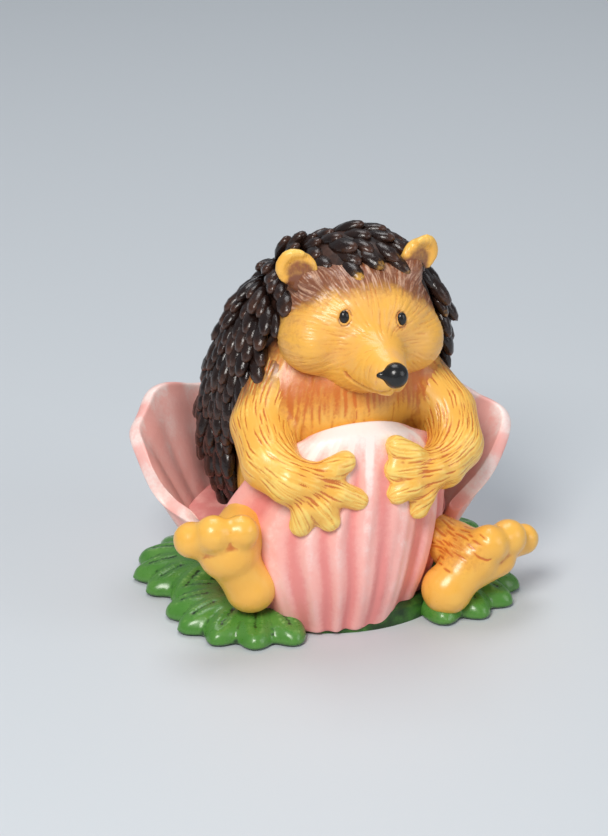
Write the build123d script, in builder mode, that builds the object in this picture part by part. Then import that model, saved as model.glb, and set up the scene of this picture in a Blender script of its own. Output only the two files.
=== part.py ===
from build123d import *
from math import asin, degrees, pi, radians, sqrt
import os

os.makedirs("parts", exist_ok=True)

# A painted resin hedgehog that sits in an open flower on a rosette of leaves.
# Millimetres. The figure looks along -Y, its own left side is +X, and it stands on Z = 0.

# Sizes of the base and the leaves
base_radius = 20.0
base_height = 3.2
base_centre = (0.5, -1.0)
leaf_seat_radius = 16.5
leaf_lobe_length = 15.0
leaf_lobe_width = 8.4
leaf_lobe_height = 3.4
leaf_lobe_lift = 0.6
leaf_lobe_reach = 6.6
leaf_headings = {"front_left": 212, "front_right": -31, "rear_left": 158, "rear_right": 24}
leaf_lobe_turns = (-68, -41, -14, 14, 41, 68)

# Sizes of the flower's cup and petals
flower_centre = (-0.5, 1.0)
cup_foot_radius = 15.0
cup_rim_radius = 20.0
cup_height = 12.5
petal_thickness = 2.4
petal_foot_radius = 17.0
petal_waist_radius = 20.5
petal_rim_radius = 30.0
petal_foot_height = 2.0
petal_waist_height = 11.0
petal_rim_height = 29.5
petal_lip = 0.7
# Each petal's sections: heading, then rim radius and rim height as shares of the two above
petal_section_shares = {
    "left": ((196, 0.66, 0.42), (178, 0.86, 0.55), (162, 1.00, 0.84), (143, 0.90, 0.97), (114, 0.84, 0.88)),
    "right": ((-36, 0.78, 0.48), (-12, 1.03, 0.79), (8, 0.96, 0.92), (30, 0.88, 0.90), (66, 0.84, 0.86)),
    "rear": ((60, 0.78, 0.72), (75, 0.84, 0.88), (90, 0.87, 0.95), (105, 0.84, 0.88), (120, 0.78, 0.72)),
}
front_petal_thickness = 3.4
front_petal_ridges = 8
front_petal_ridge_share = 0.17
# The front petal's sections from the ground up: height, foremost point, radius, half width
front_petal_sections = (
    (0.3, (-3.0, -21.5), 15.0, 12.0),
    (8.0, (-2.5, -23.5), 18.0, 15.5),
    (16.0, (-1.5, -23.0), 19.0, 18.0),
    (23.0, (0.0, -21.0), 18.0, 16.0),
    (29.0, (1.0, -18.6), 16.0, 12.0),
    (32.3, (1.3, -17.0), 15.0, 8.0),
)

# Sizes of the body and its quill coat
body_radius = 15.2
body_half_height = 26.1
body_centre = (1.2, 3.0, 31.4)
body_lean_forward = 20.0
body_lean_side = 13.0
belly_radius = 14.0
belly_centre = (-1.0, -4.0, 19.0)
coat_thickness = 1.1
coat_edge = (0.0, -4.6, 38.0)
coat_edge_lean = 13.5
quill_root_radius = 1.45
quill_tip_radius = 0.5
quill_length = 3.0
quill_gap = 0.3
quill_edge_gap = 1.9
quill_rise = 4.0
quill_low_height = 20.0
quill_crown_gap = 2.2
quill_rows = 9

# Sizes of the head
skull_centre = (3.2, -6.5, 44.3)
skull_width_radius = 12.4
skull_height_radius = 10.4
head_turns = (0, 7, 5)
cheek_radius = 5.4
cheek_place = (8.0, -3.5, -1.3)
muzzle_root = (-0.8, -5.0, -2.4)
muzzle_root_radius = 7.0
muzzle_tip = (-1.4, -16.2, -2.7)
muzzle_tip_radius = 3.2
nose_radius = 2.05
nose_place = (-1.3, -18.4, -1.9)
eye_radius = 1.0
eye_middle = -1.4
eye_spread = 4.4
eye_height = 3.6
ear_radius = 3.4
ear_dish_radius = 2.4
ear_places = {"left": (-11.7, -2.6, 9.2), "right": (8.2, -2.6, 11.3)}
ear_root_radius = 3.6
ear_root_share = 0.76
ear_outward_turn = 25.0

# Sizes of the arms and hands, as paths of balls and the radius of each ball
arm_radii = (5.6, 5.2, 4.7, 3.9, 3.6)
arm_left_path = (
    (-8.0, -5.0, 36.0),
    (-12.2, -9.0, 30.5),
    (-12.8, -15.0, 26.8),
    (-11.0, -19.0, 25.2),
    (-8.6, -19.6, 25.0),
)
arm_right_path = (
    (12.0, -5.0, 35.0),
    (16.4, -10.0, 29.6),
    (16.6, -14.0, 26.0),
    (13.6, -17.0, 24.0),
    (11.2, -18.4, 24.2),
)
finger_radius = 2.1
fingertip_radius = 1.5
fingertips_left = ((-2.5, -19.4, 27.4), (-0.9, -20.6, 21.6), (-5.6, -21.6, 19.2), (-9.7, -20.4, 18.4))
fingertips_right = ((5.6, -19.0, 28.8), (5.1, -19.8, 25.3), (5.3, -20.6, 21.8), (8.9, -19.6, 18.6))

# Sizes of the feet, as paths of balls from the heel to the hidden knee
foot_radii = (3.9, 3.7, 4.7, 4.2, 4.6)
foot_left_path = (
    (-16.5, -17.0, 7.9),
    (-18.2, -17.0, 11.0),
    (-19.9, -17.0, 14.3),
    (-15.8, -12.0, 15.7),
    (-11.0, -9.0, 16.5),
)
foot_right_path = (
    (13.7, -20.0, 4.8),
    (15.5, -20.0, 6.8),
    (18.0, -19.0, 9.2),
    (17.1, -15.0, 11.0),
    (11.0, -10.0, 14.0),
)
toe_root_radius = 3.0
toe_radius = 2.6
toes_left = ((-25.5, -17.0, 16.7), (-22.7, -19.2, 18.2), (-18.6, -19.6, 18.2))
toes_right = ((20.0, -20.6, 11.6), (23.8, -19.0, 11.6), (27.4, -16.0, 9.6))

# A limb's cones as a share of the balls that they join
cone_share = 0.95
# An oval's end balls as a share of an ellipse's end curvature
oval_end_share = 1.12


def oval_arcs(width_radius, height_radius):
    """Half an oval in the XZ plane, from its top to its bottom, added to the line that is being built."""
    end_radius = oval_end_share * width_radius**2 / height_radius
    end_height = height_radius - end_radius
    side_radius = (width_radius**2 + end_height**2 - end_radius**2) / (2 * (width_radius - end_radius))
    join = side_radius / (side_radius - end_radius)
    join_radius = (width_radius - side_radius) * (1 - join)
    join_height = end_height * join
    RadiusArc((0, height_radius), (join_radius, join_height), end_radius)
    RadiusArc((join_radius, join_height), (join_radius, -join_height), side_radius)
    RadiusArc((join_radius, -join_height), (0, -height_radius), end_radius)


def oval(width_radius, height_radius):
    """A long oval turned about Z, a ball at each end joined by one wide arc."""
    with BuildPart() as shape:
        with BuildSketch(Plane.YZ):
            with BuildLine():
                oval_arcs(width_radius, height_radius)
                Line((0, -height_radius), (0, height_radius))
            make_face()
        revolve(axis=Axis.Z)
    return shape.part


def limb(path, radii):
    """A run of balls joined by cones, added to the part that is being built."""
    for point, radius in zip(path, radii):
        with Locations(point):
            Sphere(radius)
    for near, far, near_radius, far_radius in zip(path, path[1:], radii, radii[1:]):
        run = Vector(*far) - Vector(*near)
        with Locations(Plane(origin=near, z_dir=run)):
            Cone(
                near_radius * cone_share,
                far_radius * cone_share,
                run.length,
                align=(Align.CENTER, Align.CENTER, Align.MIN),
            )


def cut_to_fit(shape, *neighbours):
    """The shape's main solid, with its neighbours cut out of it."""
    with BuildPart() as piece:
        add(shape)
        for neighbour in neighbours:
            add(neighbour, mode=Mode.SUBTRACT)
    return piece.part.solids().sort_by(SortBy.VOLUME)[-1]


def finish(name, piece):
    """Labels a piece and writes its file."""
    piece.label = name
    export_step(piece, f"parts/{name}.step")


# The leaf base, a low round foot with a flat underside
with BuildPart() as leaf_base:
    with BuildSketch():
        with Locations(base_centre):
            Circle(base_radius)
    extrude(amount=base_height)
    chamfer(leaf_base.edges().filter_by(GeomType.CIRCLE).group_by(Axis.Z)[-1], base_height / 4)
finish("leaf_base", leaf_base.part)

# The leaves, each a fan of pillow-shaped lobes cut flat underneath
with BuildPart() as lobe:
    Sphere(1)
    scale(by=(leaf_lobe_length / 2, leaf_lobe_width / 2, leaf_lobe_height))
leaves = []
for side, heading in leaf_headings.items():
    seat = Vector(*base_centre, 0) + Vector(leaf_seat_radius, 0, 0).rotate(Axis.Z, heading)
    with BuildPart() as leaf_shape:
        for turn in leaf_lobe_turns:
            centre = seat + Vector(leaf_lobe_reach, 0, leaf_lobe_lift).rotate(Axis.Z, heading + turn)
            with Locations(Location(tuple(centre), (0, 0, heading + turn))):
                add(lobe.part)
        split(bisect_by=Plane.XY, keep=Keep.TOP)
    leaf = cut_to_fit(leaf_shape.part, leaf_base.part, *leaves)
    finish(f"leaf_{side}", leaf)
    leaves.append(leaf)

# The front petal, lofted through half-moon sections whose outer arc is ridged
with BuildPart() as front_petal_shape:
    for height, (front_x, front_y), radius, half_width in front_petal_sections:
        half_angle = degrees(asin(half_width / radius))
        ridge_angle = 2 * half_angle / front_petal_ridges
        hollow_radius = radius - radius * radians(ridge_angle) * front_petal_ridge_share
        inner_radius = radius - front_petal_thickness
        with BuildSketch(Plane((front_x, front_y + radius, height))):
            with BuildLine():
                for ridge in range(front_petal_ridges):
                    start = ridge_angle * ridge - half_angle - 90
                    ThreePointArc(
                        Vector(hollow_radius, 0).rotate(Axis.Z, start),
                        Vector(radius, 0).rotate(Axis.Z, start + ridge_angle / 2),
                        Vector(hollow_radius, 0).rotate(Axis.Z, start + ridge_angle),
                    )
                ThreePointArc(
                    Vector(inner_radius, 0).rotate(Axis.Z, -half_angle - 90),
                    Vector(inner_radius, 0).rotate(Axis.Z, -90),
                    Vector(inner_radius, 0).rotate(Axis.Z, half_angle - 90),
                )
                for end in (-half_angle, half_angle):
                    Line(
                        Vector(inner_radius, 0).rotate(Axis.Z, end - 90),
                        Vector(hollow_radius, 0).rotate(Axis.Z, end - 90),
                    )
            make_face()
    loft()
petal_front = cut_to_fit(front_petal_shape.part, leaf_base.part, *leaves)
finish("petal_front", petal_front)

# The side and rear petals, lofted round the flower through upright curved sections
petals = [petal_front]
for side, section_shares in petal_section_shares.items():
    with BuildPart() as petal_shape:
        for heading, radius_share, height_share in section_shares:
            outward = Vector(1, 0, 0).rotate(Axis.Z, heading)
            rim_radius = petal_rim_radius * radius_share
            rim_height = petal_rim_height * height_share
            waist_radius = petal_foot_radius + (petal_waist_radius - petal_foot_radius) * radius_share
            waist_height = petal_foot_height + (petal_waist_height - petal_foot_height) * height_share
            section = Plane(origin=(*flower_centre, 0), x_dir=outward, z_dir=outward.cross(Vector(0, 0, 1)))
            with BuildSketch(section):
                with BuildLine():
                    ThreePointArc(
                        (petal_foot_radius, petal_foot_height),
                        (waist_radius, waist_height),
                        (rim_radius, rim_height),
                    )
                    Line((rim_radius, rim_height), (rim_radius - petal_lip, rim_height + petal_lip))
                    ThreePointArc(
                        (rim_radius - petal_lip, rim_height + petal_lip),
                        (waist_radius - petal_thickness, waist_height + petal_thickness / 3),
                        (petal_foot_radius - petal_thickness, petal_foot_height),
                    )
                    Line(
                        (petal_foot_radius - petal_thickness, petal_foot_height),
                        (petal_foot_radius, petal_foot_height),
                    )
                make_face()
        loft()
    petal = cut_to_fit(petal_shape.part, leaf_base.part, *leaves, *petals)
    finish(f"petal_{side}", petal)
    petals.append(petal)

# The leaning egg of the body and the hood that the quill coat follows
body_form = oval(body_radius, body_half_height)
body_axis = Vector(0, 0, 1).rotate(Axis.X, body_lean_forward).rotate(Axis.Y, body_lean_side)
body_plane = Plane(origin=body_centre, x_dir=(1, 0, 0), z_dir=body_axis)
coat_radius = body_radius + coat_thickness
coat_half_height = body_half_height + coat_thickness
coat_form = oval(coat_radius, coat_half_height)
behind_edge = Plane(origin=coat_edge, z_dir=Vector(0, 1, 0).rotate(Axis.X, coat_edge_lean))
with BuildPart() as egg:
    with Locations(body_plane):
        add(body_form)
with BuildPart() as coat_egg:
    with Locations(body_plane):
        add(coat_form)
with BuildPart() as hood:
    add(coat_egg.part)
    split(bisect_by=behind_edge, keep=Keep.TOP)

# The head, with cheeks, ear roots and a tapering muzzle, sits in front of the hood
head_plane = Plane(Location(skull_centre, head_turns))
skull_form = oval(skull_height_radius, skull_width_radius)
with BuildPart(head_plane) as head_shape:
    with Locations(Rotation(0, 90, 0)):
        add(skull_form)
    for side in (-1, 1):
        with Locations((side * cheek_place[0], *cheek_place[1:])):
            Sphere(cheek_radius)
    for place in ear_places.values():
        with Locations(Vector(*place) * ear_root_share):
            Sphere(ear_root_radius)
    limb((muzzle_root, muzzle_tip), (muzzle_root_radius, muzzle_tip_radius))
    split(bisect_by=behind_edge, keep=Keep.BOTTOM)

# The nose and the eyes, set into the head
with BuildPart(head_plane) as nose:
    with Locations(nose_place):
        Sphere(nose_radius)
eyes = {}
for side, sign in (("left", -1), ("right", 1)):
    eye_x = eye_middle + sign * eye_spread
    eye_depth = skull_height_radius * sqrt(
        1 - (eye_x / skull_width_radius) ** 2 - (eye_height / skull_height_radius) ** 2
    )
    with BuildPart(head_plane) as eye:
        with Locations(Location((eye_x, eye_radius / 2 - eye_depth, eye_height), (90, 0, 0))):
            Sphere(eye_radius)
    eyes[side] = eye.part
    finish(f"eye_{side}", eye.part)
finish("nose", nose.part)

# The ears, shallow dishes that face forwards and a little outwards
ears = {}
for side, sign in (("left", -1), ("right", 1)):
    with BuildPart(head_plane) as ear:
        with Locations(Location(ear_places[side], (90, 0, sign * ear_outward_turn))):
            Sphere(ear_radius, arc_size2=0)
            with Locations((0, 0, ear_dish_radius / 3)):
                Sphere(ear_dish_radius, mode=Mode.SUBTRACT)
    ears[side] = ear.part

head = cut_to_fit(head_shape.part, hood.part, petal_front, nose.part, *eyes.values())
finish("head", head)
for side, ear in ears.items():
    ears[side] = cut_to_fit(ear, head_shape.part, hood.part)
    finish(f"ear_{side}", ears[side])

# The body, an egg with a round belly, and the thin skin of the quill coat over its back
with BuildPart() as body_shape:
    add(egg.part)
    with Locations(belly_centre):
        Sphere(belly_radius)
body = cut_to_fit(body_shape.part, head, hood.part.cut(egg.part), *petals)
finish("body", body)
quill_coat = cut_to_fit(hood.part, body_shape.part, *petals)
finish("quill_coat", quill_coat)

# The arms, each ending in a hand with four fingers
upper_parts = [*petals, body, quill_coat, head]
lower_parts = [leaf_base.part, *leaves, *petals, body, quill_coat]
for side, path, fingertips in (
    ("left", arm_left_path, fingertips_left),
    ("right", arm_right_path, fingertips_right),
):
    with BuildPart() as arm_shape:
        limb(path, arm_radii)
        for fingertip in fingertips:
            limb((path[-1], fingertip), (finger_radius, fingertip_radius))
    arm = cut_to_fit(arm_shape.part, *upper_parts)
    finish(f"arm_{side}", arm)
    upper_parts.append(arm)

# The feet, soles forward, with three toes each
for side, path, toes in (("left", foot_left_path, toes_left), ("right", foot_right_path, toes_right)):
    with BuildPart() as foot_shape:
        limb(path, foot_radii)
        for toe in toes:
            limb((path[2], toe), (toe_root_radius, toe_radius))
    foot = cut_to_fit(foot_shape.part, *lower_parts)
    finish(f"foot_{side}", foot)
    lower_parts.append(foot)

# The flower's cup fills what is left between the leaf base, the petals and the body
with BuildPart() as cup_shape:
    with Locations((*flower_centre, base_height)):
        Cone(
            cup_foot_radius,
            cup_rim_radius,
            cup_height - base_height,
            align=(Align.CENTER, Align.CENTER, Align.MIN),
        )
flower_cup = cut_to_fit(cup_shape.part, *lower_parts)
finish("flower_cup", flower_cup)

# The quills, half-round and tapering, flat where they lie on the coat, in rows that run round the crown
quill_end = quill_root_radius + quill_length + quill_tip_radius
with BuildPart() as quill:
    with BuildSketch(Plane.XZ):
        with BuildLine():
            RadiusArc((0, 0), (quill_root_radius, quill_root_radius), -quill_root_radius)
            Line((quill_root_radius, quill_root_radius), (quill_tip_radius, quill_end - quill_tip_radius))
            RadiusArc((quill_tip_radius, quill_end - quill_tip_radius), (0, quill_end), -quill_tip_radius)
            Line((0, quill_end), (0, 0))
        make_face()
    revolve(axis=Axis.Z, revolution_arc=180)
quill_pitch = 2 * quill_root_radius + quill_gap
ear_centres = [head_plane.from_local_coords(place) for place in ear_places.values()]
with BuildLine(Plane.XZ) as coat_outline:
    oval_arcs(coat_radius, coat_half_height)
for row in range(quill_rows):
    row_distance = quill_crown_gap + row * (quill_end + quill_gap)
    row_seat = coat_outline.wire().position_at(row_distance, position_mode=PositionMode.LENGTH)
    slope = coat_outline.wire().tangent_at(row_distance, position_mode=PositionMode.LENGTH)
    down = slope.rotate(Axis.Y, -quill_rise)
    count = int(2 * pi * row_seat.X / quill_pitch)
    seats = []
    for turn in range(count):
        around = 360 * (turn + row % 2 / 2) / count
        seat = Plane(
            origin=row_seat.rotate(Axis.Z, around),
            x_dir=Vector(0, 1, 0).rotate(Axis.Z, around),
            z_dir=down.rotate(Axis.Z, around),
        )
        seats.append(body_plane.location * seat.location)
    seats = [
        seat
        for seat in seats
        if behind_edge.to_local_coords(seat.position).Z > quill_edge_gap
        and seat.position.Z > quill_low_height
        and min((seat.position - centre).length for centre in ear_centres) > ear_radius + quill_root_radius
    ]
    with BuildPart() as quill_row:
        with Locations(*seats):
            add(quill.part)
    finish(f"quill_row_{row + 1:02}", quill_row.part)
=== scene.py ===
from math import cos, pi, radians, sin

import bmesh
import bpy
import numpy as np
from bpy.props import FloatProperty, FloatVectorProperty, PointerProperty
from bpy.types import Operator, Panel, PropertyGroup
from mathutils import Euler, Matrix, Vector
from mathutils.kdtree import KDTree


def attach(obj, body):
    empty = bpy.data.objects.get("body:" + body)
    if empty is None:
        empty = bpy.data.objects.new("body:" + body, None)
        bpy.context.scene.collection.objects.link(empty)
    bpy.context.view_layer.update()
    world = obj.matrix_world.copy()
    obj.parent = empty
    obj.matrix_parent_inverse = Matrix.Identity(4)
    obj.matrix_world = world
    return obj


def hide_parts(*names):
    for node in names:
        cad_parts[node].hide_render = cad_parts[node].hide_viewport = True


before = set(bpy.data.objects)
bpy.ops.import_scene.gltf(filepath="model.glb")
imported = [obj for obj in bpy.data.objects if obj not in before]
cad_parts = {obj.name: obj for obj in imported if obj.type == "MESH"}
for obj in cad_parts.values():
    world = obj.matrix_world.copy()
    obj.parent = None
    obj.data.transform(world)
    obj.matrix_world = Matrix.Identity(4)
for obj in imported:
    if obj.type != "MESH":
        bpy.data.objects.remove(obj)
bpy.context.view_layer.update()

bl_info = {
    "name": "Hedgehog Figurine",
    "version": (1, 0, 0),
    "blender": (4, 5, 0),
    "location": "3D View > Sidebar > Figurine",
    "description": "Models and paints a small resin hedgehog that sits in an open flower",
    "category": "Object",
}

# The pieces are shaped in millimetres and written in metres
MM = 0.001

# Forms that repeat the frame's own places, in millimetres and degrees
SKULL_CENTRE = (3.2, -6.5, 44.3)
SKULL_RADIUS = 10.4
SKULL_HALF_WIDTH = 12.4
HEAD_TURNS = (0, 7, 5)
EGG_CENTRE = (1.2, 3.0, 31.4)
EGG_LEAN_FORWARD = 20.0
EGG_LEAN_SIDE = 13.0
BODY_RADIUS = 15.2
BODY_HALF_LENGTH = 26.1
COAT_RADIUS = 16.9
COAT_HALF_LENGTH = 27.7
ARMS = {
    "left": (
        (-8.0, -5.0, 36.0), (-12.2, -9.0, 30.5), (-12.8, -15.0, 26.8),
        (-11.0, -19.0, 25.2), (-8.6, -19.6, 25.0),
    ),
    "right": (
        (12.0, -5.0, 35.0), (16.4, -10.0, 29.6), (16.6, -14.0, 26.0),
        (13.6, -17.0, 24.0), (11.2, -18.4, 24.2),
    ),
}
ARM_RADII = (5.4, 5.0, 4.6, 3.8, 3.3)
FINGERS = {
    "left": ((-2.5, -19.4, 27.4), (-0.9, -20.6, 21.6), (-5.6, -21.6, 19.2), (-9.7, -20.4, 18.4)),
    "right": ((5.6, -19.0, 28.8), (5.1, -19.8, 25.3), (5.3, -20.6, 21.8), (8.9, -19.6, 18.6)),
}
FEET = {
    "left": (
        (-16.5, -17.0, 7.9), (-18.2, -17.0, 11.0), (-19.9, -17.0, 14.3),
        (-15.8, -12.0, 15.7), (-11.0, -9.0, 16.5),
    ),
    "right": (
        (13.7, -20.0, 4.8), (15.5, -20.0, 6.8), (18.0, -19.0, 9.2),
        (16.6, -15.0, 9.6), (11.0, -10.0, 11.5),
    ),
}
FOOT_RADII = {"left": (4.0, 3.8, 4.7, 4.2, 4.6), "right": (4.0, 3.7, 4.4, 3.8, 3.8)}
TOE_RADII = {"left": (2.8, 2.9, 2.7), "right": (3.1, 2.9, 2.5)}
TOES = {
    "left": ((-25.5, -17.0, 16.7), (-22.7, -19.2, 18.2), (-18.6, -19.6, 18.2)),
    "right": ((20.0, -20.6, 11.6), (23.8, -19.0, 11.6), (27.4, -16.0, 9.6)),
}
EARS = {"left": (-11.7, -2.6, 9.2), "right": (8.2, -2.6, 11.3)}
EYES = {"left": (-5.8, 3.6), "right": (3.0, 3.6)}
NOSE = (-1.3, -18.4, -1.9)

# The coat of quills ends at a tilted plane in front
EDGE_POINT = Vector((0.0, -4.6, 38.0))
EDGE_TILT = 13.5
EDGE_NORMAL = Matrix.Rotation(radians(EDGE_TILT), 3, "X") @ Vector((0, 1, 0))

HEAD_TURN = Euler([radians(a) for a in HEAD_TURNS], "ZYX").to_matrix().to_4x4()
HEAD_PLACE = Matrix.Translation(SKULL_CENTRE) @ HEAD_TURN
lean_side = Matrix.Rotation(radians(EGG_LEAN_SIDE), 3, "Y")
lean_forward = Matrix.Rotation(radians(EGG_LEAN_FORWARD), 3, "X")
EGG_AXIS = lean_side @ lean_forward @ Vector((0, 0, 1))
EGG_TURN = EGG_AXIS.to_track_quat("Z", "Y").to_matrix()

# Forms that the frame leaves out, the head's in its own place: a ball is a centre, a radius and a stretch
BELLY = ((-1.0, -4.0, 19.0), 13.6)
CHEST = ((1.0, -7.0, 33.0), 9.5, (1.1, 0.9, 1.0))
SHOULDER_RADII = (5.6, 5.0, 4.2)
FINGER_RADII = (2.1, 2.05, 1.85)
KNUCKLE_BULGE = Vector((0, -0.7, 0.2))
CHEEKS = (((-8.3, -3.5, -1.3), 5.4), ((7.5, -3.5, -1.3), 5.4))
MUZZLE = ((-0.8, -5.0, -2.4), (-1.4, -16.2, -2.7))
MUZZLE_RADII = (7.0, 3.2)
SMILE = (
    ((-7.8, -11.0, -5.2), (-6.9, -11.8, -6.4), (-4.8, -14.2, -7.0), (-3.2, -17.0, -5.6), (-1.8, -18.8, -4.4)),
    ((4.2, -11.4, -5.2), (3.2, -12.2, -6.4), (1.2, -14.6, -6.8), (-0.2, -17.0, -5.4), (-1.0, -18.8, -4.4)),
)
SMILE_CHEEKS = (((-10.2, -8.0, -1.0), 4.2, 0.5), ((7.2, -8.6, -1.0), 4.0, 0.3))
EAR_TURN = 25.0
EAR_RADIUS = 2.5
EAR_ARCS = {"left": (75, 235), "right": (-50, 120)}
EAR_RIM_RADII = (0.55, 0.7, 0.85, 0.9, 0.9, 0.9, 0.85, 0.7, 0.55)
NOSE_RADIUS = 1.95

# Quills: a section is a share of the length and of the width, a row lies at an angle from the pole on the
# back of the head, and the steps are shares of a quill's length from row to row and width from seat to seat
QUILL_PIECES = 9
QUILL_SPOKES = 9
QUILL_SECTIONS = ((0.0, 0.30), (0.20, 0.80), (0.45, 1.0), (0.70, 0.90), (0.90, 0.54))
QUILL_FLATNESS = 0.66
ROW_POLE = Vector((-0.1, 1.15, 1.0))
FIRST_ROW = 0.03
LAST_ROW = 2.9
ROW_STEP = 0.54
SEAT_STEP = 0.92
EAR_GAP = 2.6
RAISED_EAR_GAP = 3.3
SIDE_PETAL_LINE = 14.0
REAR_PETAL_LINE = 23.0

# Front petal: height, centre line, radius and half width of each section
FRONT_PETAL = (
    (0.3, (-2.2, -21.5), 15.2, 12.9), (8.0, (-1.9, -23.5), 18.0, 16.1), (16.0, (-1.5, -23.0), 19.0, 18.0),
    (23.0, (0.0, -21.0), 18.0, 16.0), (29.0, (1.0, -18.6), 16.0, 12.0), (32.3, (1.3, -17.0), 15.0, 8.0),
)
FRONT_PETAL_THICKNESS = 2.8
RIDGES = 8

# Upright petals: headings along the rim, and its shares of a full petal's reach and height
UPRIGHT_PETALS = {
    "left": ((196, 0.66, 0.42), (178, 0.86, 0.55), (162, 0.99, 0.84), (143, 0.91, 0.97), (114, 0.84, 0.88)),
    "right": ((-36, 0.78, 0.48), (-12, 1.03, 0.79), (8, 0.96, 0.92), (30, 0.88, 0.90), (66, 0.84, 0.86)),
    "rear": ((60, 0.78, 0.72), (75, 0.84, 0.88), (90, 0.87, 0.95), (105, 0.84, 0.88), (120, 0.78, 0.72)),
}

# A full petal's foot, the way from there to its waist, and its top, as reach and height
PETAL_FOOT = Vector((17.0, 2.0))
PETAL_WAIST = (3.5, 9.0)
PETAL_TOP = (30.0, 29.5)
PETAL_KNEE = 0.36
FLOWER_CENTRE = Vector((0, 0, 16))

# Leaves: headings of the four leaves, and of each one's lobes about its own
LEAVES = {"front_left": 212, "front_right": -31, "rear_left": 158, "rear_right": 24}
LEAF_CENTRE = Vector((0.5, -1.0, 0))
LEAF_REACH = 16.5
LOBE_TURNS = (-68, -41, -14, 14, 41, 68)
LOBE_PLACE = Vector((6.6, 0, 0.6))
RIB_REACHES = (7.0, 9.5, 12.4)
RIB_LIFT = Vector((0, 0, 3.4))

SEEDS = {"quills": 5, "body": 11, "face": 21, "brow": 22, "ears": 25, "arms": 31, "feet": 41}

# The stage, in metres: a lamp has a place, a size, a power and a colour
LAMPS = {
    "key": ((-0.30, -0.42, 0.52), 0.26, 4.0, (1.0, 0.97, 0.93)),
    "fill": ((0.55, -0.45, 0.30), 0.40, 1.1, (0.95, 0.97, 1.0)),
    "top": ((0.05, 0.25, 0.65), 0.35, 1.6, (1.0, 1.0, 1.0)),
}
LAMP_AIM = Vector((0, 0, 0.030))
SKY_COLOUR = (0.80, 0.87, 0.95, 1)
SKY_STRENGTH = 0.26
FLOOR_HALF = 6.0
CAMERA_PLACE = Vector((-125.2, -400.0, 191.8)) * MM
CAMERA_AIM = Vector((-2.8, 0.4, 26.9)) * MM
SENSOR_WIDTH = 36.0
FOCAL_SHARE = 2925.0 / 836.0


def ramp(value, low, high):
    """A soft step from 0 at low to 1 at high."""
    share = np.clip((value - low) / (high - low), 0, 1)
    return share * share * (3 - 2 * share)


def unit(rows):
    """Each row scaled to a length of 1."""
    return rows / np.maximum(np.linalg.norm(rows, axis=1, keepdims=True), 1e-9)


def through(points, steps):
    """Points along a smooth line through the given ones."""
    points = [Vector(point) for point in points]
    ends = [2 * points[0] - points[1], *points, 2 * points[-1] - points[-2]]
    line = []
    for before, start, end, after in zip(ends, ends[1:], ends[2:], ends[3:]):
        for step in range(steps):
            t = step / steps
            line.append(
                0.5 * (2 * start + (end - before) * t + (2 * before - 5 * start + 4 * end - after) * t * t
                       + (3 * start - before - 3 * end + after) * t**3)
            )
    return [*line, points[-1]]


def along(line, share):
    """The place at a share of the way along a line of points."""
    at = share * (len(line) - 1)
    low = min(int(at), len(line) - 2)
    return line[low].lerp(line[low + 1], at - low)


def behind_edge(places):
    """How far each place lies behind the plane where the coat ends."""
    return (np.array(places) - np.array(EDGE_POINT)) @ np.array(EDGE_NORMAL)


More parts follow.
